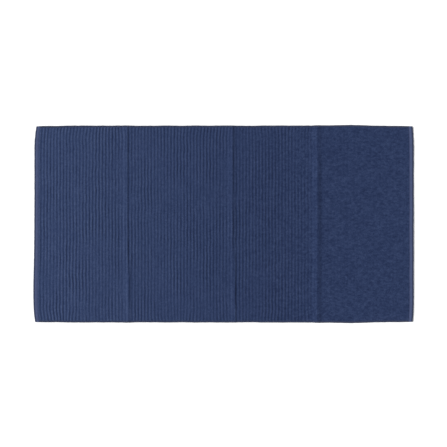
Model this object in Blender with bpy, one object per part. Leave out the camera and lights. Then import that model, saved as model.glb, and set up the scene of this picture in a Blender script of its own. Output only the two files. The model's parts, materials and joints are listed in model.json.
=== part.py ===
"""Bath towel laid flat, with three storage creases across it.

Metres, +Z up. X runs along the towel, Y across it. The towel lies on its underside at Z = 0
with the middle of its outline at the origin. The creases split it into four panels. Each panel
is a terry field between two narrow side hems, and the two end panels also carry an end hem.
"""

import math

import bpy
from mathutils import Matrix

# Towel outline: the panels' lengths along X, from the left end, and the width along Y.
PANEL_LENGTHS = (0.3325, 0.3755, 0.3010, 0.3410)
TOWEL_WIDTH = 0.7000

# Terry: the cloth with its loops, up to the top of a rib, and the ribs across the width.
TERRY_THICKNESS = 0.0046
RIB_PITCH = 0.0116
RIB_DEPTH = 0.0013
RIB_CREST_SHARE = 0.62
RIB_POINTS = 6
PLAIN_TERRY_THICKNESS = 0.0043

# Hems: the cloth is turned twice and stitched down near the inner edge of the turning.
END_HEM_WIDTH = 0.0155
END_HEM_THICKNESS = 0.0030
SIDE_HEM_WIDTH = 0.0065
SIDE_HEM_THICKNESS = 0.0025
SEAM_VALLEY_DEPTH = 0.0006
SEAM_VALLEY_HALF_WIDTH = 0.0010
END_STITCH_INSET = 0.0028
SIDE_STITCH_INSET = 0.0020
HEM_FOLD_POINTS = 7

# Sewing thread, and the gap that neighbouring pieces keep.
THREAD_RADIUS = 0.00025
CLEARANCE = 0.0003

# Room between two layers of the folded towel, where loops and ridges stand proud.
FOLD_GAP = 0.0050

# Blank care label on the underside, caught in the right end hem.
LABEL_LENGTH = 0.0450
LABEL_WIDTH = 0.0300
LABEL_THICKNESS = 0.0004
LABEL_FROM_FRONT = 0.0900

# Linear colour, roughness and metallic value of each material.
RIBBED_NAVY = ((0.0325, 0.0505, 0.1150), 0.95, 0.0)
PLAIN_NAVY = ((0.0279, 0.0443, 0.1053), 0.97, 0.0)
END_HEM_NAVY = ((0.0560, 0.0762, 0.1605), 0.88, 0.0)
SIDE_HEM_NAVY = ((0.0330, 0.0500, 0.1130), 0.90, 0.0)
THREAD_NAVY = ((0.0420, 0.0590, 0.1300), 0.60, 0.0)
LABEL_WHITE = ((0.7600, 0.7600, 0.7400), 0.45, 0.0)

# Places that follow from the sizes.
TOWEL_LENGTH = sum(PANEL_LENGTHS)
LEFT_END_X = -TOWEL_LENGTH / 2
FRONT_EDGE_Y = -TOWEL_WIDTH / 2
HEM_BASE_Z = 2 * THREAD_RADIUS + CLEARANCE

# Folding lines. Panel 1 folds up onto panel 2, panel 3 folds up over both, and panel 4 folds
# back on panel 3's underside, which is then on top. Panel 2 stays put, and each other panel
# hangs on the fold named here.
FOLDS = (
    ("crease_1_fold", TERRY_THICKNESS + FOLD_GAP / 2),
    ("crease_2_fold", 3 * TERRY_THICKNESS / 2 + FOLD_GAP),
    ("crease_3_fold", -FOLD_GAP / 2),
)
PANEL_FOLD = {1: "crease_1_fold", 3: "crease_2_fold", 4: "crease_3_fold"}

TOWEL_COLLECTION = "bath_towel"
CUTTER_COLLECTION = "cutters"


def clear_scene():
    for obj in list(bpy.data.objects):
        bpy.data.objects.remove(obj)


def new_collection(name):
    collection = bpy.data.collections.new(name)
    bpy.context.scene.collection.children.link(collection)
    return collection


def new_material(name, look):
    color, roughness, metallic = look
    material = bpy.data.materials.new(name)
    material.use_nodes = True
    shader = material.node_tree.nodes["Principled BSDF"]
    shader.inputs["Base Color"].default_value = (*color, 1.0)
    shader.inputs["Roughness"].default_value = roughness
    shader.inputs["Metallic"].default_value = metallic
    material.diffuse_color = (*color, 1.0)
    return material


def panel_span(number):
    """The X range of a panel, counted from 1 at the left end."""
    low = LEFT_END_X + sum(PANEL_LENGTHS[: number - 1])
    return low, low + PANEL_LENGTHS[number - 1]


def terry_span(number):
    """The X range of a panel's terry field, clear of its neighbours and of the end hem."""
    low, high = panel_span(number)
    if number == 1:
        low += END_HEM_WIDTH
    if number == len(PANEL_LENGTHS):
        high -= END_HEM_WIDTH
    return low + CLEARANCE / 2, high - CLEARANCE / 2


def hang(obj, fold_name):
    """Parents an object to a fold's empty and leaves it where it is."""
    fold = bpy.data.objects[fold_name]
    bpy.context.view_layer.update()
    obj.parent = fold
    obj.matrix_parent_inverse = Matrix.Translation(-fold.matrix_world.translation)


def add_folds():
    """An empty on each folding line. The last panel's fold rides on its neighbour's."""
    for number, (name, height) in enumerate(FOLDS, 1):
        fold = bpy.data.objects.new(name, None)
        fold.location = (panel_span(number)[1], 0.0, height)
        bpy.data.collections[TOWEL_COLLECTION].objects.link(fold)
    hang(bpy.data.objects["crease_3_fold"], "crease_2_fold")


def place_in_panel(obj, number):
    """Puts a finished piece in the towel's collection and on its panel's fold."""
    bpy.data.collections[TOWEL_COLLECTION].objects.link(obj)
    if number in PANEL_FOLD:
        hang(obj, PANEL_FOLD[number])


def extruded_outline(name, points, length, look):
    """A flat outline in its own XY plane, extruded by length along its own Z and centred there."""
    curve = bpy.data.curves.new(name, "CURVE")
    curve.dimensions = "2D"
    curve.fill_mode = "BOTH"
    curve.extrude = length / 2
    spline = curve.splines.new("POLY")
    spline.points.add(len(points) - 1)
    for point, (across, up) in zip(spline.points, points):
        point.co = (across, up, 0.0, 1.0)
    spline.use_cyclic_u = True
    curve.materials.append(new_material(name, look))
    return bpy.data.objects.new(name, curve)


def rib_outline(length):
    """Section of ribbed terry, from one groove to another, with its flat underside at zero."""
    ribs = round(length / RIB_PITCH)
    groove = TERRY_THICKNESS - RIB_DEPTH
    points = [(length, 0.0), (0.0, 0.0)]
    for step in range(ribs * RIB_POINTS + 1):
        wave = abs(math.sin(math.pi * step / RIB_POINTS)) ** RIB_CREST_SHARE
        points.append((length * step / (ribs * RIB_POINTS), groove + RIB_DEPTH * wave))
    return points


def add_ribbed_terry(number):
    low, high = terry_span(number)
    width = TOWEL_WIDTH - 2 * SIDE_HEM_WIDTH - 2 * CLEARANCE
    outline = rib_outline(high - low)
    obj = extruded_outline(f"ribbed_terry_{number}", outline, width, RIBBED_NAVY)
    obj.rotation_euler = (math.pi / 2, 0.0, 0.0)
    obj.location = (low, 0.0, 0.0)
    place_in_panel(obj, number)


def new_block(name, low, high, look):
    """A box between two opposite corners, in no collection yet."""
    bpy.ops.mesh.primitive_cube_add(size=1.0)
    obj = bpy.context.object
    obj.name = name
    obj.data.name = name
    obj.scale = [top - base for base, top in zip(low, high)]
    obj.location = [(base + top) / 2 for base, top in zip(low, high)]
    obj.data.materials.append(new_material(name, look))
    for collection in list(obj.users_collection):
        collection.objects.unlink(obj)
    return obj


def label_box(gap):
    """Opposite corners of the care label, grown by a gap on every side."""
    _, field_end = terry_span(len(PANEL_LENGTHS))
    middle = FRONT_EDGE_Y + LABEL_FROM_FRONT
    low = (field_end - LABEL_LENGTH - gap, middle - LABEL_WIDTH / 2 - gap, -gap)
    high = (field_end + gap, middle + LABEL_WIDTH / 2 + gap, LABEL_THICKNESS + gap)
    return low, high


def add_plain_terry(number):
    """The plain field, with a shallow recess underneath where the label lies."""
    low, high = terry_span(number)
    half = TOWEL_WIDTH / 2 - SIDE_HEM_WIDTH - CLEARANCE
    name = f"plain_terry_{number}"
    bottom = (low, -half, 0.0)
    top = (high, half, PLAIN_TERRY_THICKNESS)
    field = new_block(name, bottom, top, PLAIN_NAVY)
    place_in_panel(field, number)
    cutter = new_block("label_recess", *label_box(CLEARANCE), PLAIN_NAVY)
    bpy.data.collections[CUTTER_COLLECTION].objects.link(cutter)
    cutter.hide_render = True
    cutter.display_type = "WIRE"
    recess = field.modifiers.new("label_recess", "BOOLEAN")
    recess.operation = "DIFFERENCE"
    recess.object = cutter
    recess.solver = "EXACT"


def hem_outline(width, thickness, stitch_inset):
    """Section of a turned hem: outer fold at zero, raw side at width, pressed in at the seam."""
    radius = thickness / 2
    seam = width - stitch_inset
    shoulder = (radius + seam - SEAM_VALLEY_HALF_WIDTH) / 2
    points = []
    for step in range(HEM_FOLD_POINTS):
        angle = math.pi / 2 + math.pi * step / (HEM_FOLD_POINTS - 1)
        points.append((radius + radius * math.cos(angle), radius + radius * math.sin(angle)))
    points.append((width, 0.0))
    points.append((width, thickness - SEAM_VALLEY_DEPTH / 2))
    points.append((seam + SEAM_VALLEY_HALF_WIDTH, thickness - SEAM_VALLEY_DEPTH))
    points.append((seam - SEAM_VALLEY_HALF_WIDTH, thickness - SEAM_VALLEY_DEPTH))
    points.append((shoulder, thickness))
    return points


def add_end_hem(side, turn, number):
    """A hem across the whole width. Turn is -1 at the left end and +1 at the right end."""
    name = f"end_hem_{side}"
    outline = hem_outline(END_HEM_WIDTH - CLEARANCE / 2, END_HEM_THICKNESS, END_STITCH_INSET)
    obj = extruded_outline(name, outline, TOWEL_WIDTH, END_HEM_NAVY)
    obj.rotation_euler = (math.pi / 2, 0.0, 0.0 if turn < 0 else math.pi)
    obj.location = (turn * TOWEL_LENGTH / 2, 0.0, HEM_BASE_Z)
    place_in_panel(obj, number)


def add_side_hem(side, turn, number):
    """A hem along one panel. Turn is -1 at the front edge and +1 at the back edge."""
    low, high = terry_span(number)
    outline = hem_outline(SIDE_HEM_WIDTH, SIDE_HEM_THICKNESS, SIDE_STITCH_INSET)
    name = f"side_hem_{side}_{number}"
    obj = extruded_outline(name, outline, high - low, SIDE_HEM_NAVY)
    obj.rotation_euler = (math.pi / 2, 0.0, math.pi / 2 if turn < 0 else -math.pi / 2)
    obj.location = ((low + high) / 2, turn * TOWEL_WIDTH / 2, HEM_BASE_Z)
    place_in_panel(obj, number)


def add_thread(name, ends, height, number):
    """A straight run of sewing thread, with its centre line at the given height."""
    curve = bpy.data.curves.new(name, "CURVE")
    curve.dimensions = "3D"
    curve.bevel_depth = THREAD_RADIUS
    curve.bevel_resolution = 2
    curve.use_fill_caps = True
    spline = curve.splines.new("POLY")
    spline.points.add(1)
    for point, end in zip(spline.points, ends):
        point.co = (*end, height, 1.0)
    curve.materials.append(new_material(name, THREAD_NAVY))
    place_in_panel(bpy.data.objects.new(name, curve), number)


def add_seam(place, ends, hem_thickness, number):
    """The needle thread that lies on a hem, and the bobbin thread that lies under it."""
    on_top = HEM_BASE_Z + hem_thickness - SEAM_VALLEY_DEPTH + CLEARANCE + THREAD_RADIUS
    add_thread(f"needle_thread_{place}", ends, on_top, number)
    add_thread(f"bobbin_thread_{place}", ends, THREAD_RADIUS, number)


def add_end_seam(side, turn, number):
    seam = turn * (TOWEL_LENGTH / 2 - END_HEM_WIDTH + CLEARANCE / 2 + END_STITCH_INSET)
    reach = TOWEL_WIDTH / 2 - SIDE_HEM_WIDTH / 2
    add_seam(side, ((seam, -reach), (seam, reach)), END_HEM_THICKNESS, number)


def add_side_seam(side, turn, number):
    low, high = terry_span(number)
    seam = turn * (TOWEL_WIDTH / 2 - SIDE_HEM_WIDTH + SIDE_STITCH_INSET)
    add_seam(f"{side}_{number}", ((low, seam), (high, seam)), SIDE_HEM_THICKNESS, number)


def add_care_label(number):
    place_in_panel(new_block("care_label", *label_box(0.0), LABEL_WHITE), number)


def build_towel():
    clear_scene()
    new_collection(TOWEL_COLLECTION)
    new_collection(CUTTER_COLLECTION)
    add_folds()
    last = len(PANEL_LENGTHS)
    for number in range(1, last):
        add_ribbed_terry(number)
    add_plain_terry(last)
    for side, turn, number in (("left", -1, 1), ("right", 1, last)):
        add_end_hem(side, turn, number)
        add_end_seam(side, turn, number)
    for side, turn in (("back", 1), ("front", -1)):
        for number in range(1, last + 1):
            add_side_hem(side, turn, number)
            add_side_seam(side, turn, number)
    add_care_label(last)


build_towel()
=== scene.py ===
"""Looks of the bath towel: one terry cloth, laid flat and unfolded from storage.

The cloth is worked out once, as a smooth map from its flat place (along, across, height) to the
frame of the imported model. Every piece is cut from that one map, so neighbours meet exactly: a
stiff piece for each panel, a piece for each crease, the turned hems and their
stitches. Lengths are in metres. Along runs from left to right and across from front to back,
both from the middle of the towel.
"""

import json
import math

import bmesh
import bpy
import numpy as np
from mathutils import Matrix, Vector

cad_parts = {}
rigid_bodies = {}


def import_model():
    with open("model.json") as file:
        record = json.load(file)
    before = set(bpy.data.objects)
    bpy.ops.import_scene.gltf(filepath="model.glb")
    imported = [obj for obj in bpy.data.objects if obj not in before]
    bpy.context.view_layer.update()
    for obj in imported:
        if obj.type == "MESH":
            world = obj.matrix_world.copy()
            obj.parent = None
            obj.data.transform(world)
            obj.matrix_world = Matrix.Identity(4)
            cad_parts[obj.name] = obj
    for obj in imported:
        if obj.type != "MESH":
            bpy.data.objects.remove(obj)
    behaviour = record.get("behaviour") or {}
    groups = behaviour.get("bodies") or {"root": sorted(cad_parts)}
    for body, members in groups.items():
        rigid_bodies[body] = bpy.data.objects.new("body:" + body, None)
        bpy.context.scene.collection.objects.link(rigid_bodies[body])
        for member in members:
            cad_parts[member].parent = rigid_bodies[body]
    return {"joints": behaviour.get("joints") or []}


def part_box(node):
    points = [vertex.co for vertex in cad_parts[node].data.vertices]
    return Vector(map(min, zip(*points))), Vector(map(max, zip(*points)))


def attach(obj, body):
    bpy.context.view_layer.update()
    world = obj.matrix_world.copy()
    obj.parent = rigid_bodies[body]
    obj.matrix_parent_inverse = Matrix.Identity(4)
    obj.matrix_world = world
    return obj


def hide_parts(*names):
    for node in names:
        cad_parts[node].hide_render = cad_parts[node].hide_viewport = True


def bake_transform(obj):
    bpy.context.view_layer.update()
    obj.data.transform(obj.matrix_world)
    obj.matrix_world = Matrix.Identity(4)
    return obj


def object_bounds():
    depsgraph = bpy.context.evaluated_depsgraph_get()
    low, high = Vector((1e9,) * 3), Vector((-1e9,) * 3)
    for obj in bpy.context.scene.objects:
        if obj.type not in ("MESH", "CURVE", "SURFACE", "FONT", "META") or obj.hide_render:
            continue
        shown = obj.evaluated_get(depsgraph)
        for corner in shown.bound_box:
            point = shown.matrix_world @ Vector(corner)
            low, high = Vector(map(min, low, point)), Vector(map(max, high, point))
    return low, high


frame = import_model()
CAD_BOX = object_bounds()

MM = 0.001

# Places that come from the frame.
LOW, HIGH = (np.array(corner) for corner in CAD_BOX)
HALF_LENGTH = (HIGH[0] - LOW[0]) / 2
HALF_WIDTH = (HIGH[1] - LOW[1]) / 2
CREASES = [joint["pos_m"][0] for joint in frame["joints"]]
END_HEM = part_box("end_hem_left")[1][0] + HALF_LENGTH
SIDE_HEM = HALF_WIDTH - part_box("side_hem_back_1")[0][1]
FIELD_END = HALF_LENGTH - END_HEM
FIELD_SIDE = HALF_WIDTH - SIDE_HEM

# Names of bodies and nodes in the frame, and of the pieces between panels.
PANELS = ("panel_1", "panel_2", "panel_3", "panel_4")
TERRY_NODES = ("ribbed_terry_1", "ribbed_terry_2", "ribbed_terry_3", "plain_terry_4")
CREASE_NAMES = ("crease_1", "crease_2", "crease_3")
LAST_PART = 2 * len(CREASES)

# Steps of the meshes, and how many steps, rings and spokes make up the small shapes.
STEP_ALONG = 1.45 * MM
STEP_ACROSS = 3.5 * MM
STEP_HEM = 0.9 * MM
SHOULDER_STEPS = 5
STITCH_RINGS = 5
STITCH_SPOKES = 6
LABEL_STEPS = (40, 28)

# Heights in the cloth, from its underside up. The mean groove is the average of 1 less rib_height.
PILE = 3.75 * MM
RIB_DEPTH = 1.6 * MM
RIB_PITCH = 11.6 * MM
RIB_MIDDLE = 0.6
MEAN_GROOVE = 0.424
UNDER_RIB_DEPTH = 0.5 * MM
SHOULDER = 3.0 * MM
SHOULDER_HEIGHT = 2.7 * MM
SHOULDER_OVERHANG = 1.0 * MM
LOOP_HEIGHT = 0.20 * MM
TUFT_HEIGHT = 0.26 * MM
UNDER_LOOP_HEIGHT = 0.08 * MM
SPARE_AT_BEND = 2.5 * MM

# Random fields: the size of a cell in two directions, and the seed.
FIELDS = {
    "outline_x": (0.09, 0.06, 11),
    "outline_y": (0.05, 1.0, 12),
    "waves": (0.13, 0.15, 21),
    "ridges": (1.0, 0.09, 22),
    "side_ripples": (0.045, 1.0, 23),
    "end_ripples": (1.0, 0.055, 24),
    "rib_patches": (0.055, 0.10, 31),
    "rib_spots": (0.02, 0.05, 32),
    "single_ribs": (0.5 * RIB_PITCH, 0.024, 33),
    "slits": (1.0, 0.05, 34),
    "rib_waver": (0.045, 0.03, 41),
    "rib_splay": (0.06, 0.09, 42),
    "loops": (3.4 * MM, 4.5 * MM, 51),
    "tufts": (15 * MM, 7 * MM, 52),
    "under_loops": (4 * MM, 7 * MM, 61),
    "hem_top": (9 * MM, 3 * MM, 71),
    "hem_fold": (13 * MM, 1.0, 72),
    "label": (7 * MM, 9 * MM, 81),
}
FIELD_CELLS = 64
FIELD_ORIGIN = 500.0


# ---------------------------------------------------------------- smooth fields

def eased(share):
    return share * share * (3 - 2 * share)


def noise(field, a, b):
    """Smooth noise from -1 to 1 over a plane, with one random value per cell corner."""
    cell_a, cell_b, seed = FIELDS[field]
    table = np.random.default_rng(seed).uniform(-1.0, 1.0, (FIELD_CELLS, FIELD_CELLS))
    u, v = a / cell_a + FIELD_ORIGIN, b / cell_b + FIELD_ORIGIN
    i, j = np.floor(u).astype(int), np.floor(v).astype(int)
    f, g = eased(u - i), eased(v - j)
    next_i, next_j = (i + 1) % FIELD_CELLS, (j + 1) % FIELD_CELLS
    i, j = i % FIELD_CELLS, j % FIELD_CELLS
    low = table[i, j] * (1 - f) + table[next_i, j] * f
    high = table[i, next_j] * (1 - f) + table[next_i, next_j] * f
    return low * (1 - g) + high * g


def smooth(low, high, value):
    """0 up to low, 1 from high on, and a smooth step between. High may be the lesser of the two."""
    return eased(np.clip((value - low) / (high - low), 0.0, 1.0))


def bell(distance, width):
    return np.exp(-((distance / width) ** 2))


def near(distance, reach):
    """1 at no distance, falling to 0 at the reach."""
    return np.clip(1 - distance / reach, 0, 1) ** 2


# ---------------------------------------------------------------- how the cloth lies

# The first two creases drift to the right on their way to the front edge.
CREASE_DRIFT = (6.0 * MM, 7.0 * MM, 0.0)
DRIFT_FROM, DRIFT_TO = -0.06, -0.20

# The outline: how far corners tuck in and edges bow out, and over what reach.
END_REACH = 0.10
LEFT_TUCK = 2.7 * MM
BACK_LEFT_TUCK, BACK_LEFT_REACH = 7.5 * MM, 0.085
FRONT_LEFT_TUCK, FRONT_LEFT_REACH = 4.6 * MM, 0.060
LEFT_BOW, LEFT_BOW_AT, LEFT_BOW_REACH = 4.0 * MM, -0.23, 0.12
RIGHT_BOW = 1.4 * MM
RIGHT_TUCK, RIGHT_REACH = 4.0 * MM, 0.075
SIDE_BOW, SIDE_BOW_AT, SIDE_BOW_REACH = 2.3 * MM, 0.44, 0.08
BACK_SIDE_TUCK, FRONT_SIDE_TUCK, SIDE_TUCK_REACH = 2.8 * MM, 1.5 * MM, 0.07
RIGHT_SIDE_TUCK, RIGHT_SIDE_POWER = 2.8 * MM, 1.6
OUTLINE_JITTER = 0.5 * MM
EDGE_POWER = 4

# Height of the cloth's underside: waves, rippled edges, lifted corners and a fold at each left one.
WAVE, WAVE_MEAN, WAVE_SWING = 1.5 * MM, 0.6, 0.6
SIDE_RIPPLE, SIDE_RIPPLE_REACH = 1.1 * MM, 0.07
END_RIPPLE, END_RIPPLE_REACH = 0.8 * MM, 0.05
RIPPLE_MEAN = 0.9
CORNER_LIFT, CORNER_POWER = 1.2 * MM, 12
CORNER_FOLD, CORNER_FOLD_AT, CORNER_FOLD_REACH = 1.3 * MM, 52 * MM, 9 * MM
CORNER_FOLD_MEAN, CORNER_FOLD_FRONT = 0.8, 0.2
LIFT_LIMIT = 2.2 * MM

# The ridge of each crease: its height, and its reach to the left and to the right.
RIDGES = (
    (3.0 * MM, 12 * MM, 4.5 * MM),
    (3.6 * MM, 14 * MM, 5.2 * MM),
    (4.4 * MM, 13 * MM, 10 * MM),
)
RIDGE_MEAN, RIDGE_SWING = 0.85, 0.3


def crease_line(number, across):
    """Where a crease runs."""
    return CREASES[number] + CREASE_DRIFT[number] * smooth(DRIFT_FROM, DRIFT_TO, across)


def outline_shift(along, across):
    """Small moves within the plane: corners tuck in and the edges bow a little."""
    to_left, to_right = along + HALF_LENGTH, HALF_LENGTH - along
    to_back, to_front = HALF_WIDTH - across, across + HALF_WIDTH
    left, right = np.exp(-to_left / END_REACH), np.exp(-to_right / END_REACH)
    back_left = BACK_LEFT_TUCK * near(to_back, BACK_LEFT_REACH)
    front_left = FRONT_LEFT_TUCK * near(to_front, FRONT_LEFT_REACH)
    shift_x = left * (back_left + front_left + LEFT_TUCK)
    shift_x -= left * LEFT_BOW * bell(across - LEFT_BOW_AT, LEFT_BOW_REACH)
    corners = near(to_back, RIGHT_REACH) + near(to_front, RIGHT_REACH)
    shift_x -= right * (RIGHT_TUCK * corners - RIGHT_BOW)
    shift_x += OUTLINE_JITTER * noise("outline_x", along, across)
    outward = SIDE_BOW * bell(along - SIDE_BOW_AT, SIDE_BOW_REACH)
    tuck = np.where(across > 0, BACK_SIDE_TUCK, FRONT_SIDE_TUCK)
    outward -= tuck * np.exp(-to_left / SIDE_TUCK_REACH)
    outward -= RIGHT_SIDE_TUCK * right ** RIGHT_SIDE_POWER
    outward += OUTLINE_JITTER * noise("outline_y", along, 0.0)
    shift_y = outward * np.sign(across) * (np.abs(across) / HALF_WIDTH) ** EDGE_POWER
    return shift_x, shift_y


def lift(along, across):
    """Height of the cloth's underside above the floor."""
    to_end, to_side = HALF_LENGTH - np.abs(along), HALF_WIDTH - np.abs(across)
    height = WAVE * (WAVE_MEAN + WAVE_SWING * noise("waves", along, across))
    side_ripple = RIPPLE_MEAN + noise("side_ripples", along, np.sign(across))
    height += SIDE_RIPPLE * smooth(SIDE_RIPPLE_REACH, 0.0, to_side) * side_ripple
    end_ripple = RIPPLE_MEAN + noise("end_ripples", np.sign(along), across)
    height += END_RIPPLE * smooth(END_RIPPLE_REACH, 0.0, to_end) * end_ripple
    fold_line = along + HALF_LENGTH + to_side - CORNER_FOLD_AT
    fold_height = CORNER_FOLD_MEAN + CORNER_FOLD_FRONT * np.sign(-across)
    height += CORNER_FOLD * bell(fold_line, CORNER_FOLD_REACH) * fold_height
    corner = (np.abs(along) / HALF_LENGTH * np.abs(across) / HALF_WIDTH) ** CORNER_POWER
    height = np.maximum(height + CORNER_LIFT * corner, 0.0)
    height = LIFT_LIMIT * np.tanh(height / LIFT_LIMIT)
    for number, (peak, left_reach, right_reach) in enumerate(RIDGES):
        offset = along - crease_line(number, across)
        reach = np.where(offset < 0, left_reach, right_reach)
        strength = RIDGE_MEAN + RIDGE_SWING * noise("ridges", number, across)
        height += peak * strength * bell(offset, reach)
    return height


# ---------------------------------------------------------------- ribs and pile

# Strength of the ribs at places from left to right. They fade into plain terry at the last crease.
RIB_PLACES = (-0.66, -0.34, 0.03, 0.20, 0.33, 0.345)
RIB_STRENGTHS = (1.0, 0.98, 0.93, 0.78, 0.52, 0.10)
RIB_PATCHES, RIB_SPOTS, SINGLE_RIBS = 0.494, 0.228, 0.42
LEAST_RIB, MOST_RIB = 0.05, 1.6

# Ribs are pressed flat just to the left of a crease.
PRESSED, PRESSED_AT, PRESSED_REACH = 0.35, -13 * MM, 11 * MM

# How far ribs waver, and how far they splay near the long edges.
RIB_WAVER, RIB_SPLAY, RIB_SPLAY_REACH = 1.1 * MM, 4.0 * MM, 0.05
GROOVE_POWER = 1.5

# Painted light and shade at each crease, for its ridge lit from the left: how much lighter it is on
# the left and darker on the right, how wide both are, and how dark the painted shadow in the slit
# is.
CREASE_PAINTING = (
    (0.11, 0.06, 9 * MM, 0.25),
    (0.08, 0.05, 9 * MM, 0.31),
    (0.18, 0.17, 10.5 * MM, 0.10),
)
PAINTED_LIGHT_AT, PAINTED_SHADE_AT = -1.1, 0.8
SLIT_SHADOW_AT, SLIT_SHADOW_REACH = 2.0 * MM, 2.8 * MM
SLIT_SHADOW_MEAN, SLIT_SHADOW_SWING = 0.42, 0.5

# The first two creases are sharpest where they drift, with more painted light and a darker painted
# shadow in the slit. Near the front edge their slits close and that shadow fades, and every crease
# ends in a painted highlight.
SHARP_AT, SHARP_REACH, SHARP_SLIT_SHADOW, SHARP_PAINTED_LIGHT = -0.235, 0.06, 1.4, 0.8
CLOSE_FROM, CLOSE_TO, CLOSED = -0.285, -0.31, 0.9
CREASE_HIGHLIGHT, CREASE_HIGHLIGHT_AT, CREASE_HIGHLIGHT_ALONG, CREASE_HIGHLIGHT_ACROSS = 0.15, -0.316, 10 * MM, 12 * MM
SHARP_CREASES = (1.0, 1.0, 0.0)

# Room under the cloth for the care label.
LABEL_ROOM = 0.9 * MM
LABEL_MARGIN, LABEL_SLOPE = 0.5 * MM, 3 * MM
LABEL_END_GAP = 2 * MM


def rib_strength(along, across):
    """How plain the ribs are: they fade to the right, and wash out in patches."""
    fade = np.interp(along, RIB_PLACES, RIB_STRENGTHS)
    pressed = 1.0
    for number in range(len(CREASES)):
        pressed -= PRESSED * bell(along - crease_line(number, across) - PRESSED_AT, PRESSED_REACH)
    uneven = 1.0 + RIB_PATCHES * noise("rib_patches", along, across)
    uneven += RIB_SPOTS * noise("rib_spots", along, across)
    uneven += SINGLE_RIBS * noise("single_ribs", along, across)
    return fade * pressed * np.clip(uneven, LEAST_RIB, MOST_RIB)


def rib_height(along, across):
    """0 in a groove and 1 on a rib, for ribs that run across the towel and waver a little."""
    edge = 1 - smooth(0.0, RIB_SPLAY_REACH, HALF_WIDTH - np.abs(across))
    waver = RIB_WAVER * noise("rib_waver", along, across)
    waver += RIB_SPLAY * edge * noise("rib_splay", along, across)
    phase = 2 * math.pi * (along + waver) / RIB_PITCH
    return 1 - (0.5 + 0.5 * np.cos(phase)) ** GROOVE_POWER


def crease_light_and_shade(along, across):
    """Painted light left of each crease, painted shade right of it past a painted slit shadow, and
    a painted highlight.
    """
    shade = np.ones_like(along)
    sharp = bell(across - SHARP_AT, SHARP_REACH)
    opening = 1 - CLOSED * smooth(CLOSE_FROM, CLOSE_TO, across)
    spot = CREASE_HIGHLIGHT * bell(across - CREASE_HIGHLIGHT_AT, CREASE_HIGHLIGHT_ACROSS)
    for number, (light, dark, width, slit_shadow) in enumerate(CREASE_PAINTING):
        offset = along - crease_line(number, across)
        sharpness = SHARP_CREASES[number] * sharp
        shade += light * (1 + SHARP_PAINTED_LIGHT * sharpness) * bell(offset - PAINTED_LIGHT_AT * width, width)
        shade -= dark * bell(offset - PAINTED_SHADE_AT * width, width)
        shadow_depth = SLIT_SHADOW_MEAN + SLIT_SHADOW_SWING * noise("slits", number, across) + SHARP_SLIT_SHADOW * sharpness
        shade -= slit_shadow * shadow_depth * opening * bell(offset - SLIT_SHADOW_AT, SLIT_SHADOW_REACH)
        # A painted highlight where each crease meets the front edge.
        shade += spot * bell(offset, CREASE_HIGHLIGHT_ALONG)
    return shade


def pile_top(along, across):
    """Height of the loops above the underside, with a shoulder where they meet the hems."""
    rib = rib_strength(along, across) * (rib_height(along, across) - RIB_MIDDLE)
    top = PILE + RIB_DEPTH * rib
    top += LOOP_HEIGHT * noise("loops", along, across)
    top += TUFT_HEIGHT * noise("tufts", along, across)
    inset = np.minimum(FIELD_END - np.abs(along), FIELD_SIDE - np.abs(across))
    rise = smooth(-SHOULDER_OVERHANG, SHOULDER, inset)
    return SHOULDER_HEIGHT + (top - SHOULDER_HEIGHT) * rise


def pile_under(along, across):
    """Height of the lower loops: shallow ribs, and room for the care label."""
    low = UNDER_RIB_DEPTH * rib_strength(along, across) * (1 - rib_height(along, across))
    low += UNDER_LOOP_HEIGHT * (1 + noise("under_loops", along, across))
    corner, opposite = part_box("care_label")
    outside = np.maximum(
        np.maximum(corner[0] - along, along - opposite[0] - LABEL_END_GAP),
        np.maximum(corner[1] - across, across - opposite[1]),
    )
    return low + LABEL_ROOM * (1 - smooth(LABEL_MARGIN, LABEL_SLOPE, outside))


def place(along, across, height):
    """A point of the flat cloth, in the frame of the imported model."""
    shift_x, shift_y = outline_shift(along, across)
    z = height + lift(along, across)
    return np.stack([along + shift_x, across + shift_y, z], axis=-1)


# ---------------------------------------------------------------- meshes

LEAST_NORMAL = 1e-12


def new_object(name, points, faces, normals=None, flat=None, marks=None):
    """A smooth mesh object. flat is each point's place in the flat cloth, for its material."""
    mesh = bpy.data.meshes.new(name)
    mesh.from_pydata(points.reshape(-1, 3).tolist(), [], faces)
    mesh.shade_smooth()
    if flat is not None:
        attribute = mesh.attributes.new("cloth_place", "FLOAT_VECTOR", "POINT")
        attribute.data.foreach_set("vector", flat.reshape(-1).astype(np.float32))
    for mark, values in (marks or {}).items():
        attribute = mesh.attributes.new(mark, "FLOAT", "POINT")
        attribute.data.foreach_set("value", values.reshape(-1).astype(np.float32))
    if normals is not None:
        mesh.normals_split_custom_set_from_vertices(normals.reshape(-1, 3).tolist())
    obj = bpy.data.objects.new(name, mesh)
    bpy.context.scene.collection.objects.link(obj)
    return obj


def grid_normals(points):
    """Unit normals of a grid of points, right-handed from its first index to its second."""
    normal = np.cross(np.gradient(points, axis=0), np.gradient(points, axis=1))
    length = np.linalg.norm(normal, axis=-1, keepdims=True)
    return normal / np.maximum(length, LEAST_NORMAL)


def slab_faces(rows, columns):
    """Faces of a closed slab: an upper grid, a lower grid after it, and the walls between."""
    count = rows * columns
    index = np.arange(count).reshape(rows, columns)
    corners = (index[:-1, :-1], index[1:, :-1], index[1:, 1:], index[:-1, 1:])
    upper = np.stack(corners, axis=-1).reshape(-1, 4)
    faces = upper.tolist() + (upper[:, ::-1] + count).tolist()
    rim = np.concatenate([index[:, 0], index[-1, 1:], index[-2::-1, -1], index[0, -2:0:-1]])
    after = np.roll(rim, -1)
    faces += np.stack([rim + count, after + count, after, rim], axis=-1).tolist()
    return faces


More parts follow.
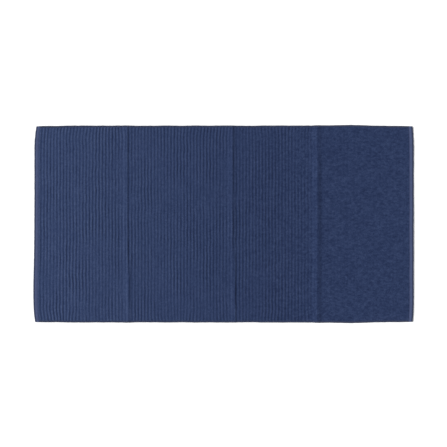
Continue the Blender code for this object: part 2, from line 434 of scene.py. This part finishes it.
def tube_faces(stations, around):
    """Faces of a closed tube: loops of points one after another, with a cap at each end."""
    index = np.arange(stations * around).reshape(stations, around)
    turned = np.roll(index, -1, axis=1)
    faces = np.stack([index[:-1], index[1:], turned[1:], turned[:-1]], axis=-1)
    return faces.reshape(-1, 4).tolist() + [index[0].tolist(), index[-1, ::-1].tolist()]


def stations(breaks, step):
    """Positions from the first break to the last, with every break among them."""
    parts = []
    for low, high in zip(breaks[:-1], breaks[1:]):
        count = max(2, math.ceil((high - low) / step) + 1)
        parts.append(np.linspace(low, high, count)[:-1])
    return np.append(np.concatenate(parts), breaks[-1])


def bend_half(number):
    """Half the length of cloth that a fold takes up: a half turn at the outer face's distance."""
    hinge = frame["joints"][number]["pos_m"][2]
    outer_face = max(hinge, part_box("plain_terry_4")[1][2] - hinge)
    return math.pi * outer_face / 2


def cut_places():
    """The flat places where the cloth is cut into pieces, from left to right."""
    cuts = [-FIELD_END]
    for number, crease in enumerate(CREASES):
        half = bend_half(number) + SPARE_AT_BEND
        cuts += [crease - half, crease + half]
    return cuts + [FIELD_END]


def ride_or_bend(obj, part):
    """The even parts are panels, which ride their bodies, and the parts between them stay where
    they lie.
    """
    if part % 2 == 0:
        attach(obj, PANELS[part // 2])
        return
    number = part // 2
    joint = frame["joints"][number]
    left, right = PANELS[number], PANELS[number + 1]
    if joint["parent"] == left:
        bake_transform(obj)
    else:
        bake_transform(obj)


def part_name(stem, part):
    number = part // 2
    return f"{stem}_{number + 1}" if part % 2 == 0 else f"{stem}_{CREASE_NAMES[number]}"


# ---------------------------------------------------------------- materials

# Colours, in linear light. The terry goes from one navy to the other, from left to right.
NAVY_LEFT = (0.0318, 0.0502, 0.1156)
NAVY_RIGHT = (0.0204, 0.0342, 0.0868)
DRIFT_FROM_SHARE, DRIFT_TO_SHARE = 0.08, 0.62
HEM_NAVY = (0.0475, 0.0635, 0.1350)
THREAD_NAVY = (0.048, 0.064, 0.135)
TAPE_WHITE = (0.56, 0.56, 0.54)
SHEEN_TINT = (0.55, 0.65, 0.9, 1.0)
SHEEN_ROUGHNESS = 0.45
CLOTH_SPECULAR = 0.15

# Darker terry, from painted shade as well as from its own mottling, turns bluer: the powers of a
# shade that red, green and blue take.
SHADE_BLUE_POWERS = (1.25, 1.0, 0.70)

# Nearly all of a noise texture lies between these two.
NOISE_LOW, NOISE_HIGH = 0.3, 0.7

# Terry. Scales are cells per metre, and a spread is how far a shade strays from 1.
LOOP_SCALE, LOOP_SOFTNESS = 560.0, 0.25
LOOP_MIDDLE, LOOP_RIM = 0.05, 0.65
# Painted light at the middle of each loop and painted shade at its rim, in the gaps between loops.
LOOP_PAINTED_LIGHT, LOOP_PAINTED_SHADE = 1.34, 0.62
JOSTLE_SCALE, JOSTLE = 380.0, 1.6 * MM
FUZZ_SCALE, FUZZ_SPREAD, FUZZ_RELIEF = 750.0, 0.12, 1.6
STREAK_SCALE, STREAK_STRETCH = 145.0, (0.6, 1.0, 1.0)
STREAKS_FROM, STREAKS_TO = 0.45, 0.78
RIBBED_STREAKS, PLAIN_STREAKS = 0.14, 0.39
PATCH_SCALE, PATCH_SPREAD = 14.0, 0.05
LOOP_BUMP, LOOP_BUMP_STRENGTH = 0.6 * MM, 0.85

# Hem weave, sewing thread and label tape.
YARN_PITCH, WEAVE_SPREAD = 1.1 * MM, 0.14
SLUB_SCALE, SLUB_SPREAD, SLUB_RELIEF = 150.0, 0.1, 1.5
WEAVE_BUMP, WEAVE_BUMP_STRENGTH = 0.18 * MM, 0.8
TWIST_SCALE, TWIST_STRETCH = 700.0, (1.0, 0.6, 1.0)
TWIST_DARK, TWIST_LIGHT = 0.75, 1.2
TWIST_BUMP, TWIST_BUMP_STRENGTH = 0.1 * MM, 0.6
SATIN_SCALE, CLOUD_SCALE, CLOUD_SPREAD = 420.0, 90.0, 0.04
SATIN_DARK, SATIN_LIGHT = 0.9, 1.03
SATIN_BUMP, SATIN_BUMP_STRENGTH = 0.08 * MM, 0.5


def new_material(name, roughness, sheen):
    material = bpy.data.materials.new(name)
    material.use_nodes = True
    shader = material.node_tree.nodes["Principled BSDF"]
    shader.inputs["Roughness"].default_value = roughness
    shader.inputs["Sheen Weight"].default_value = sheen
    shader.inputs["Sheen Roughness"].default_value = SHEEN_ROUGHNESS
    shader.inputs["Sheen Tint"].default_value = SHEEN_TINT
    shader.inputs["Specular IOR Level"].default_value = CLOTH_SPECULAR
    return material, material.node_tree, shader


def node(tree, kind, **values):
    made = tree.nodes.new(kind)
    for key, value in values.items():
        setattr(made, key, value)
    return made


def math_node(tree, operation, *values):
    made = node(tree, "ShaderNodeMath", operation=operation)
    for socket, value in zip(made.inputs, values):
        if isinstance(value, (int, float)):
            socket.default_value = value
        else:
            tree.links.new(value, socket)
    return made.outputs[0]


def product(tree, first, *others):
    for other in others:
        first = math_node(tree, "MULTIPLY", first, other)
    return first


def attribute(tree, name, output="Fac"):
    made = node(tree, "ShaderNodeAttribute", attribute_name=name)
    return made.outputs[output]


def axis(tree, vector, name):
    made = node(tree, "ShaderNodeSeparateXYZ")
    tree.links.new(vector, made.inputs[0])
    return made.outputs[name]


def texture(tree, kind, vector, scale, feature=None, **settings):
    made = node(tree, kind)
    if feature is not None:
        made.feature = feature
    tree.links.new(vector, made.inputs["Vector"])
    made.inputs["Scale"].default_value = scale
    for key, value in settings.items():
        made.inputs[key].default_value = value
    return made


def jostled(tree, vector, scale, reach):
    """A place moved about at random by up to half the reach, so that a pattern loses its order."""
    random = texture(tree, "ShaderNodeTexNoise", vector, scale, Detail=1.0)
    middle = node(tree, "ShaderNodeVectorMath", operation="SUBTRACT")
    tree.links.new(random.outputs["Color"], middle.inputs[0])
    middle.inputs[1].default_value = (0.5, 0.5, 0.5)
    moved = node(tree, "ShaderNodeVectorMath", operation="MULTIPLY_ADD")
    tree.links.new(middle.outputs[0], moved.inputs[0])
    moved.inputs[1].default_value = (reach, reach, reach)
    tree.links.new(vector, moved.inputs[2])
    return moved.outputs[0]


def stretched(tree, vector, scale):
    made = node(tree, "ShaderNodeVectorMath", operation="MULTIPLY")
    tree.links.new(vector, made.inputs[0])
    made.inputs[1].default_value = scale
    return made.outputs[0]


def ranged(tree, value, low, high, to_low, to_high):
    made = node(tree, "ShaderNodeMapRange")
    tree.links.new(value, made.inputs["Value"])
    made.inputs["From Min"].default_value = low
    made.inputs["From Max"].default_value = high
    made.inputs["To Min"].default_value = to_low
    made.inputs["To Max"].default_value = to_high
    return made.outputs["Result"]


def varied(tree, random, spread):
    """A shade that a noise texture moves by up to the spread from 1."""
    return ranged(tree, random.outputs["Fac"], NOISE_LOW, NOISE_HIGH, 1 - spread, 1 + spread)


def ramp(tree, value, stops):
    """A colour between two stops, each a position and a colour."""
    made = node(tree, "ShaderNodeValToRGB")
    tree.links.new(value, made.inputs["Fac"])
    for element, (position, color) in zip(made.color_ramp.elements, stops):
        element.position = position
        element.color = (*color, 1.0)
    return made.outputs["Color"]


def bluer_where_darker(tree, color, factor):
    """A colour times the factor, where a lower one also makes it bluer and a higher one greyer."""
    channels = node(tree, "ShaderNodeCombineXYZ")
    for socket, power in zip(channels.inputs, SHADE_BLUE_POWERS):
        tree.links.new(math_node(tree, "POWER", factor, power), socket)
    made = node(tree, "ShaderNodeVectorMath", operation="MULTIPLY")
    tree.links.new(color, made.inputs[0])
    tree.links.new(channels.outputs[0], made.inputs[1])
    return made.outputs[0]


def scaled_color(tree, color, factor):
    made = node(tree, "ShaderNodeVectorMath", operation="SCALE")
    made.inputs[0].default_value = color
    tree.links.new(factor, made.inputs["Scale"])
    return made.outputs[0]


def bump(tree, shader, height, distance, strength):
    made = node(tree, "ShaderNodeBump")
    made.inputs["Distance"].default_value = distance
    made.inputs["Strength"].default_value = strength
    tree.links.new(height, made.inputs["Height"])
    tree.links.new(made.outputs["Normal"], shader.inputs["Normal"])


def terry_material():
    """Cotton loops: little domes with painted light on top and painted shade between, painted shade
    between ribs, and a slow drift along the towel.
    """
    material, tree, shader = new_material("navy_terry", roughness=0.96, sheen=0.25)
    spot = attribute(tree, "cloth_place", "Vector")
    drift = ranged(tree, axis(tree, spot, "X"), -HALF_LENGTH, HALF_LENGTH, 0.0, 1.0)
    stops = ((DRIFT_FROM_SHARE, NAVY_LEFT), (DRIFT_TO_SHARE, NAVY_RIGHT))
    color = ramp(tree, drift, stops)
    loops = texture(
        tree, "ShaderNodeTexVoronoi", jostled(tree, spot, JOSTLE_SCALE, JOSTLE), LOOP_SCALE,
        feature="SMOOTH_F1", Smoothness=LOOP_SOFTNESS, Randomness=1.0,
    )
    distance = loops.outputs["Distance"]
    # Painted light on each loop's top and painted shade in the gaps between loops.
    loop_light_and_shade = ranged(
        tree, distance, LOOP_MIDDLE, LOOP_RIM, LOOP_PAINTED_LIGHT, LOOP_PAINTED_SHADE,
    )
    fuzz = texture(tree, "ShaderNodeTexNoise", spot, FUZZ_SCALE, Detail=3.0, Roughness=0.7)
    mottle = texture(
        tree, "ShaderNodeTexNoise", stretched(tree, spot, STREAK_STRETCH), STREAK_SCALE,
        Detail=3.0, Roughness=0.6,
    )
    streak_spread = ranged(
        tree, drift, STREAKS_FROM, STREAKS_TO, RIBBED_STREAKS, PLAIN_STREAKS,
    )
    streaks = ranged(tree, mottle.outputs["Fac"], NOISE_LOW, NOISE_HIGH, -1.0, 1.0)
    streaks = math_node(tree, "ADD", product(tree, streaks, streak_spread), 1.0)
    patches = texture(tree, "ShaderNodeTexNoise", spot, PATCH_SCALE, Detail=2.0)
    # Loop light and shade, fuzz, streaks and patches, times the painted light and shade of grooves
    # and creases.
    factor = product(
        tree, loop_light_and_shade, varied(tree, fuzz, FUZZ_SPREAD), streaks,
        varied(tree, patches, PATCH_SPREAD), attribute(tree, "depth_shade"),
    )
    tree.links.new(bluer_where_darker(tree, color, factor), shader.inputs["Base Color"])
    height = math_node(tree, "SUBTRACT", 1.0, distance)
    fuzz_height = product(tree, fuzz.outputs["Fac"], FUZZ_RELIEF)
    height = math_node(tree, "ADD", height, fuzz_height)
    bump(tree, shader, height, LOOP_BUMP, LOOP_BUMP_STRENGTH)
    return material


def hem_material():
    """The flat ground weave of a hem: over-and-under yarns, with painted shade where the fold turns
    down.
    """
    material, tree, shader = new_material("navy_hem_weave", roughness=0.85, sheen=0.2)
    spot = attribute(tree, "cloth_place", "Vector")
    yarn = 2 * math.pi / YARN_PITCH
    warp = math_node(tree, "SINE", product(tree, axis(tree, spot, "X"), yarn))
    weft = math_node(tree, "SINE", product(tree, axis(tree, spot, "Y"), yarn))
    weave = product(tree, warp, weft)
    slub = texture(tree, "ShaderNodeTexNoise", spot, SLUB_SCALE, Detail=4.0)
    # Weave, slubs, and the painted light and shade of the hem's section.
    factor = product(
        tree, ranged(tree, weave, -1.0, 1.0, 1 - WEAVE_SPREAD, 1 + WEAVE_SPREAD),
        varied(tree, slub, SLUB_SPREAD), attribute(tree, "depth_shade"),
    )
    tree.links.new(scaled_color(tree, HEM_NAVY, factor), shader.inputs["Base Color"])
    height = math_node(tree, "ADD", weave, product(tree, slub.outputs["Fac"], SLUB_RELIEF))
    bump(tree, shader, height, WEAVE_BUMP, WEAVE_BUMP_STRENGTH)
    return material


def thread_material():
    """Twisted two-ply sewing thread."""
    material, tree, shader = new_material("navy_thread", roughness=0.55, sheen=0.15)
    spot = stretched(tree, attribute(tree, "cloth_place", "Vector"), TWIST_STRETCH)
    twist = texture(tree, "ShaderNodeTexWave", spot, TWIST_SCALE, Distortion=1.0).outputs["Fac"]
    factor = ranged(tree, twist, 0.0, 1.0, TWIST_DARK, TWIST_LIGHT)
    tree.links.new(scaled_color(tree, THREAD_NAVY, factor), shader.inputs["Base Color"])
    bump(tree, shader, twist, TWIST_BUMP, TWIST_BUMP_STRENGTH)
    return material


def label_material():
    """Blank satin tape with fine ribs across it."""
    material, tree, shader = new_material("white_satin_tape", roughness=0.42, sheen=0.1)
    spot = attribute(tree, "cloth_place", "Vector")
    yarns = texture(tree, "ShaderNodeTexWave", spot, SATIN_SCALE, Distortion=0.4).outputs["Fac"]
    cloudy = texture(tree, "ShaderNodeTexNoise", spot, CLOUD_SCALE, Detail=3.0)
    factor = product(
        tree, ranged(tree, yarns, 0.0, 1.0, SATIN_DARK, SATIN_LIGHT),
        varied(tree, cloudy, CLOUD_SPREAD),
    )
    tree.links.new(scaled_color(tree, TAPE_WHITE, factor), shader.inputs["Base Color"])
    bump(tree, shader, yarns, SATIN_BUMP, SATIN_BUMP_STRENGTH)
    return material


# ---------------------------------------------------------------- the cloth's pieces

# Painted shade of the terry in its grooves, on top and underneath, and a little on all of the
# underside.
GROOVE_PAINTED_SHADE = 0.55
UNDERSIDE_PAINTED_SHADE, UNDER_GROOVE_PAINTED_SHADE = 0.95, 0.12

# The underside's pattern is read at this height, so that it differs from the top's.
UNDER_PATTERN = -0.1

# The short edges: name, direction and body. The long edges: name and direction.
END_SIDES = (("left", -1, "panel_1"), ("right", 1, "panel_4"))
LONG_SIDES = (("back", 1), ("front", -1))

# Hems and their seams, from the outer fold inwards and from the floor up.
HEM_BASE = 0.2 * MM
END_HEM_THICKNESS = 3.1 * MM
SIDE_HEM_THICKNESS = 2.6 * MM
END_SEAM = END_HEM - 3.0 * MM
SIDE_SEAM = 4.5 * MM
SEAM_DIP, SEAM_DIP_REACH = 0.7 * MM, 0.9 * MM
HEM_SWELL = 0.25 * MM
INNER_DROP, INNER_DROP_POWER = 0.7 * MM, 10
UNDER_RISE, UNDER_FROM_SHARE = 0.1 * MM, 0.35
TOP_TO = 0.4 * MM
FOLD_POINTS, UNDER_POINTS, TOP_POINTS = 9, 5, 15

# Painted light and shade of a hem: painted shade in the outer fold, light on top, painted shade in
# the seam's valley and again at the terry.
FOLD_PAINTED_SHADE, FOLD_PAINTED_SHADE_RISE, FOLD_PAINTED_SHADE_FROM = 0.42, 0.40, 0.1
HEM_UNDER_PAINTED_SHADE, HEM_INNER_PAINTED_SHADE = 0.8, 0.6
HEM_TOP_SHADE, SEAM_PAINTED_SHADE = 1.15, 0.08
INNER_PAINTED_SHADE, INNER_PAINTED_SHADE_POWER = 0.2, 12
OUTER_PAINTED_SHADE, OUTER_FROM_SHARE, OUTER_TO_SHARE = 0.68, 0.24, 0.54
# Painted light on the left end hem and painted shade on the right one; painted shade on the side
# hems.
END_HEM_LIGHT_AND_SHADE = {"left": 1.05, "right": 0.93}
SIDE_HEM_PAINTED_SHADE = 0.54

# How sewing puckers a hem, how its surface and its fold wander, and how its ends round off.
PUCKER, PUCKER_REACH = 0.16 * MM, 1.6 * MM
HEM_UNEVEN = 0.12 * MM
FOLD_WANDER = 0.25 * MM
ROUND_END, LEAST_ROUND = 1.6 * MM, 0.04


def part_rows(cuts, positions):
    """Which positions belong to each part of the cloth. Every cut is one of the positions."""
    ends = [int(np.argmin(np.abs(positions - cut))) for cut in cuts]
    return [slice(first, last + 1) for first, last in zip(ends[:-1], ends[1:])]


def make_terry(material):
    """The seven pieces of terry: four stiff panels and three crease pieces between them."""
    cuts = cut_places()
    breaks = [cuts[0], cuts[0] + SHOULDER, *cuts[1:-1], cuts[-1] - SHOULDER, cuts[-1]]
    along = stations(breaks, STEP_ALONG)
    edge = FIELD_SIDE - SHOULDER
    across = np.concatenate([
        np.linspace(-FIELD_SIDE, -edge, SHOULDER_STEPS)[:-1],
        stations([-edge, edge], STEP_ACROSS),
        np.linspace(edge, FIELD_SIDE, SHOULDER_STEPS)[1:],
    ])
    s, t = np.meshgrid(along, across, indexing="ij")
    top = place(s, t, pile_top(s, t))
    under = place(s, t, pile_under(s, t))
    up, down = grid_normals(top), -grid_normals(under)
    groove = 1 - rib_height(s, t)
    strength = rib_strength(s, t)
    # Painted shade in the grooves between ribs, times the painted light and shade at the creases.
    painted_shade_top = (1 + GROOVE_PAINTED_SHADE * strength * (MEAN_GROOVE - groove)) * crease_light_and_shade(s, t)
    painted_shade_under = UNDERSIDE_PAINTED_SHADE - UNDER_GROOVE_PAINTED_SHADE * strength * groove
    flat_top = np.stack([s, t, np.full_like(s, PILE)], axis=-1)
    flat_under = np.stack([s, t, np.full_like(s, UNDER_PATTERN)], axis=-1)
    pieces = []
    for part, rows in enumerate(part_rows(cuts, along)):
        obj = new_object(
            part_name("terry_cloth", part),
            np.stack([top[rows], under[rows]]),
            slab_faces(rows.stop - rows.start, len(across)),
            normals=np.stack([up[rows], down[rows]]),
            flat=np.stack([flat_top[rows], flat_under[rows]]),
            marks={"depth_shade": np.stack([painted_shade_top[rows], painted_shade_under[rows]])},
        )
        obj.data.materials.append(material)
        ride_or_bend(obj, part)
        if part % 2 == 0:
            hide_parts(TERRY_NODES[part // 2])
        pieces.append(obj)
    return pieces


def hem_section(width, thickness, seam):
    """A hem's closed section: (inset from the outer fold, height, painted light and shade) of each
    point.
    """
    radius = thickness / 2
    middle = HEM_BASE + radius
    points = []
    for angle in np.linspace(math.pi / 2, 3 * math.pi / 2, FOLD_POINTS):
        inset = radius + radius * math.cos(angle)
        shade = FOLD_PAINTED_SHADE + FOLD_PAINTED_SHADE_RISE * smooth(FOLD_PAINTED_SHADE_FROM, 1.0, math.sin(angle))
        points.append((inset, middle + radius * math.sin(angle), shade))
    for share in np.linspace(UNDER_FROM_SHARE, 1.0, UNDER_POINTS):
        points.append((width * share, HEM_BASE + UNDER_RISE, HEM_UNDER_PAINTED_SHADE))
    points.append((width, middle, HEM_INNER_PAINTED_SHADE))
    for inset in np.linspace(width, radius + TOP_TO, TOP_POINTS):
        share = inset / width
        dip = bell(inset - seam, SEAM_DIP_REACH)
        swell = HEM_SWELL * math.sin(math.pi * min(inset / seam, 1.0))
        drop = INNER_DROP * share ** INNER_DROP_POWER
        # Painted shade in the seam's valley, near the terry and at the outer fold.
        shade = HEM_TOP_SHADE - SEAM_PAINTED_SHADE * dip - INNER_PAINTED_SHADE * share ** INNER_PAINTED_SHADE_POWER
        shade -= OUTER_PAINTED_SHADE * (1 - smooth(OUTER_FROM_SHARE, OUTER_TO_SHARE, share))
        points.append((inset, HEM_BASE + thickness - SEAM_DIP * dip + swell - drop, shade))
    return np.array(points)


def hem_tube(section, seam, thickness, stops, to_flat, ends_closed):
    """Points, normals and flat places of a hem that runs through all of stops."""
    inset = np.broadcast_to(section[:, 0], (len(stops), len(section))).copy()
    height = np.broadcast_to(section[:, 1], inset.shape).copy()
    run = np.broadcast_to(stops[:, None], inset.shape)
    middle = HEM_BASE + thickness / 2
    pucker = bell(inset - seam, PUCKER_REACH) * (height > middle)
    height += PUCKER * pucker * np.cos(2 * math.pi * run / STITCH_PITCH)
    height += HEM_UNEVEN * noise("hem_top", run, inset) * (height > thickness / 2)
    inset += FOLD_WANDER * noise("hem_fold", run, 0.0) * (1 - inset / inset.max())
    if ends_closed:
        to_end = np.minimum(run - stops[0], stops[-1] - run)
        from_round = 1 - np.clip(to_end / ROUND_END, 0, 1)
        height = middle + (height - middle) * np.sqrt(np.clip(1 - from_round ** 2, LEAST_ROUND, 1))
    along, across = to_flat(run, inset)
    points = place(along, across, height)
    wrapped = np.concatenate([points[:, -1:], points, points[:, :1]], axis=1)
    normals = grid_normals(wrapped)[:, 1:-1]
    return points, normals, np.stack([along, across, height], axis=-1)


def turned_out(points, normals):
    """True if the normals point away from the middle of the section."""
    return float(np.sum((points - points.mean(axis=1, keepdims=True)) * normals)) > 0


def make_hem_piece(name, tube, shade, rows, material):
    points, normals, flat = (values[rows] for values in tube)
    count, around = points.shape[:2]
    if not turned_out(points, normals):
        points, normals, flat = points[:, ::-1], -normals[:, ::-1], flat[:, ::-1]
        shade = shade[::-1]
    shades = np.broadcast_to(shade, (count, around))
    faces = tube_faces(count, around)
    obj = new_object(name, points, faces, normals, flat, {"depth_shade": shades})
    obj.data.materials.append(material)
    return obj


def make_end_hems(material):
    pieces = {}
    section = hem_section(END_HEM, END_HEM_THICKNESS, END_SEAM)
    stops = stations([-HALF_WIDTH, HALF_WIDTH], STEP_HEM)
    for side, sign, body in END_SIDES:
        tube = hem_tube(
            section, END_SEAM, END_HEM_THICKNESS, stops,
            lambda run, inset, sign=sign: (sign * (HALF_LENGTH - inset), run), True,
        )
        # Painted light on the left end hem, painted shade on the right one.
        shade = END_HEM_LIGHT_AND_SHADE[side] * section[:, 2]
        rows = slice(0, len(stops))
        obj = make_hem_piece(f"end_hem_cloth_{side}", tube, shade, rows, material)
        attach(obj, body)
        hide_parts(f"end_hem_{side}")
        pieces[side] = obj
    return pieces


def make_side_hems(material):
    """Each long edge's hem, cut where the terry is cut."""
    pieces = {}
    section = hem_section(SIDE_HEM, SIDE_HEM_THICKNESS, SIDE_SEAM)
    # Painted shade on the side hems.
    shade = SIDE_HEM_PAINTED_SHADE * section[:, 2]
    cuts = cut_places()
    stops = stations(cuts, STEP_HEM)
    for side, sign in LONG_SIDES:
        tube = hem_tube(
            section, SIDE_SEAM, SIDE_HEM_THICKNESS, stops,
            lambda run, inset, sign=sign: (run, sign * (HALF_WIDTH - inset)), False,
        )
        for part, rows in enumerate(part_rows(cuts, stops)):
            name = part_name(f"side_hem_cloth_{side}", part)
            obj = make_hem_piece(name, tube, shade, rows, material)
            ride_or_bend(obj, part)
            if part % 2 == 0:
                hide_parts(f"side_hem_{side}_{part // 2 + 1}")
            pieces[side, part] = obj
    return pieces


# ---------------------------------------------------------------- stitches and label

STITCH_PITCH = 3.6 * MM
STITCH_LENGTH = 3.0 * MM
THREAD_RADIUS = 0.28 * MM

# Each ring of a stitch: its share of the length, its thickness, and how far it sinks in.
STITCH_SHARES = np.array([0.0, 0.12, 0.5, 0.88, 1.0])
STITCH_RADII = THREAD_RADIUS * np.array([0.45, 1.0, 1.08, 1.0, 0.45])
STITCH_SINKS = np.array([0.42, 0.08, 0.0, 0.08, 0.42]) * MM

# Height of the needle thread above the seam's valley, and of the bobbin thread above the base.
NEEDLE_RISE = 0.30 * MM
BOBBIN_RISE = 0.05 * MM

# Flat cloth left without stitches at the two ends of a seam.
END_SEAM_START, END_SEAM_STOP = 3 * MM, 6 * MM
SIDE_SEAM_START, SIDE_SEAM_STOP = 1 * MM, 4 * MM

# The care label: how far it reaches beyond its place, its own height, and its woven edge.
LABEL_SPARE = 1.5 * MM
LABEL_BASE, LABEL_RIPPLE, LABEL_THICKNESS = 0.18 * MM, 0.06 * MM, 0.22 * MM
LABEL_EDGE, LABEL_EDGE_FROM, LABEL_EDGE_TO = 0.05 * MM, 0.3 * MM, 1.2 * MM


def stitch_points(start, to_flat, height, up):
    """One stitch: a short thread that rises out of the cloth and goes back in."""
    turns = np.linspace(0, 2 * math.pi, STITCH_SPOKES + 1)[:-1]
    run = start + STITCH_LENGTH * STITCH_SHARES[:, None] + 0 * turns
    side = STITCH_RADII[:, None] * np.cos(turns)
    level = height - up * STITCH_SINKS[:, None] + STITCH_RADII[:, None] * np.sin(turns)
    along, across = to_flat(run, side)
    return place(along, across, level), np.stack([along, across, level], axis=-1)


def turn_outward(obj):
    """Turns every separate closed stitch the right way out."""
    work = bmesh.new()
    work.from_mesh(obj.data)
    bmesh.ops.recalc_face_normals(work, faces=work.faces)
    work.to_mesh(obj.data)
    work.free()


def make_stitches(name, starts, to_flat, height, up, material):
    points, flats, faces = [], [], []
    single = tube_faces(STITCH_RINGS, STITCH_SPOKES)
    for number, start in enumerate(starts):
        point, flat = stitch_points(start, to_flat, height, up)
        points.append(point.reshape(-1, 3))
        flats.append(flat.reshape(-1, 3))
        before = STITCH_RINGS * STITCH_SPOKES * number
        faces += [[corner + before for corner in face] for face in single]
    obj = new_object(name, np.concatenate(points), faces, flat=np.concatenate(flats))
    turn_outward(obj)
    obj.data.materials.append(material)
    return obj


def seam_levels(thickness):
    """The two threads of a seam: the kind, its height, and which way it stands out."""
    top = HEM_BASE + thickness - SEAM_DIP + NEEDLE_RISE
    return (("needle", top, 1), ("bobbin", HEM_BASE + BOBBIN_RISE, -1))


def make_end_stitches(material):
    pieces = {}
    first, last = END_SEAM_START - HALF_WIDTH, HALF_WIDTH - END_SEAM_STOP
    starts = np.arange(first, last, STITCH_PITCH)
    for side, sign, body in END_SIDES:
        for kind, height, up in seam_levels(END_HEM_THICKNESS):
            obj = make_stitches(
                f"{kind}_stitches_{side}", starts,
                lambda run, off, sign=sign: (sign * (HALF_LENGTH - END_SEAM) + off, run),
                height, up, material,
            )
            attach(obj, body)
            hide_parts(f"{kind}_thread_{side}")
            pieces.setdefault(side, []).append(obj)
    return pieces


def make_side_stitches(material):
    pieces = {}
    cuts = cut_places()
    first, last = SIDE_SEAM_START - FIELD_END, FIELD_END - SIDE_SEAM_STOP
    starts = np.arange(first, last, STITCH_PITCH)
    middles = starts + STITCH_LENGTH / 2
    for side, sign in LONG_SIDES:
        for kind, height, up in seam_levels(SIDE_HEM_THICKNESS):
            for part, (low, high) in enumerate(zip(cuts[:-1], cuts[1:])):
                obj = make_stitches(
                    part_name(f"{kind}_stitches_{side}", part),
                    starts[(middles >= low) & (middles < high)],
                    lambda run, off, sign=sign: (run, sign * (HALF_WIDTH - SIDE_SEAM) + off),
                    height, up, material,
                )
                ride_or_bend(obj, part)
                if part % 2 == 0:
                    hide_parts(f"{kind}_thread_{side}_{part // 2 + 1}")
                pieces.setdefault((side, part), []).append(obj)
    return pieces


def make_label(material):
    """Thin tape against the underside, thicker at its woven edges."""
    low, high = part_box("care_label")
    along = np.linspace(low[0], high[0] + LABEL_SPARE, LABEL_STEPS[0])
    across = np.linspace(low[1], high[1], LABEL_STEPS[1])
    s, t = np.meshgrid(along, across, indexing="ij")
    base = LABEL_BASE + LABEL_RIPPLE * noise("label", s, t)
    edge = np.minimum(t - across[0], across[-1] - t)
    thickness = LABEL_THICKNESS + LABEL_EDGE * (1 - smooth(LABEL_EDGE_FROM, LABEL_EDGE_TO, edge))
    top, under = place(s, t, base + thickness), place(s, t, base)
    flat = np.stack([s, t, 0 * s], axis=-1)
    obj = new_object(
        "care_label_tape",
        np.stack([top, under]),
        slab_faces(len(along), len(across)),
        flat=np.stack([flat, flat]),
    )
    obj.data.materials.append(material)
    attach(obj, "panel_4")
    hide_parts("care_label")
    return obj


# ---------------------------------------------------------------- stage, lights and camera

FLOOR_SIZE, FLOOR_HEIGHT = 40.0, -0.2 * MM
FLOOR_WHITE = (0.93, 0.93, 0.93, 1.0)
FLOOR_ROUGHNESS = 0.9
STUDIO_WHITE, STUDIO_STRENGTH = (1.0, 1.0, 1.0, 1.0), 0.72
SUN_STRENGTH, SUN_WIDTH = 2.9, math.radians(12)
SUN_TURN = (0.0, math.radians(-46), math.radians(-10))
LENS, SENSOR = 85.0, 36.0
CAMERA_PLACE = (0.0, 1.8 * MM, 3.755)


def make_stage():
    bpy.ops.mesh.primitive_plane_add(size=FLOOR_SIZE, location=(0, 0, FLOOR_HEIGHT))
    floor = bpy.context.object
    floor.name = "floor"
    material = bpy.data.materials.new("floor_white")
    material.use_nodes = True
    shader = material.node_tree.nodes["Principled BSDF"]
    shader.inputs["Base Color"].default_value = FLOOR_WHITE
    shader.inputs["Roughness"].default_value = FLOOR_ROUGHNESS
    shader.inputs["Specular IOR Level"].default_value = 0.0
    floor.data.materials.append(material)


def make_lights():
    """Even studio light, and a soft sun from the left that shows the ribs."""
    world = bpy.data.worlds.new("studio")
    world.use_nodes = True
    background = world.node_tree.nodes["Background"]
    background.inputs["Color"].default_value = STUDIO_WHITE
    background.inputs["Strength"].default_value = STUDIO_STRENGTH
    bpy.context.scene.world = world
    sun = bpy.data.lights.new("window_side", "SUN")
    sun.energy = SUN_STRENGTH
    sun.angle = SUN_WIDTH
    obj = bpy.data.objects.new("window_side", sun)
    obj.rotation_euler = SUN_TURN
    bpy.context.scene.collection.objects.link(obj)


def make_camera():
    """Straight down on the middle, far enough away to look flat."""
    camera = bpy.data.cameras.new("camera")
    camera.lens = LENS
    camera.sensor_width = SENSOR
    obj = bpy.data.objects.new("camera", camera)
    obj.location = CAMERA_PLACE
    bpy.context.scene.collection.objects.link(obj)
    bpy.context.scene.camera = obj
    bpy.context.scene.view_settings.view_transform = "Standard"


def declare_cloth(terry, end_hems, side_hems, end_stitches, side_stitches, label):
    """Gathers, for each piece of terry, the hems, stitches and label along its edges, and does
    nothing more with them.
    """
    cuts = cut_places()
    for part, obj in enumerate(terry):
        extras = []
        for side, _ in LONG_SIDES:
            extras.append(side_hems[side, part])
            extras += side_stitches[side, part]
        for side, at in (("left", 0), ("right", LAST_PART)):
            if part == at:
                extras.append(end_hems[side])
                extras += end_stitches[side]
        if part == LAST_PART:
            extras.append(label)


make_camera()
make_stage()
make_lights()
terry_pieces = make_terry(terry_material())
hem_look = hem_material()
end_hem_pieces = make_end_hems(hem_look)
side_hem_pieces = make_side_hems(hem_look)
thread_look = thread_material()
end_stitch_pieces = make_end_stitches(thread_look)
side_stitch_pieces = make_side_stitches(thread_look)
label_piece = make_label(label_material())
declare_cloth(
    terry_pieces, end_hem_pieces, side_hem_pieces,
    end_stitch_pieces, side_stitch_pieces, label_piece,
)
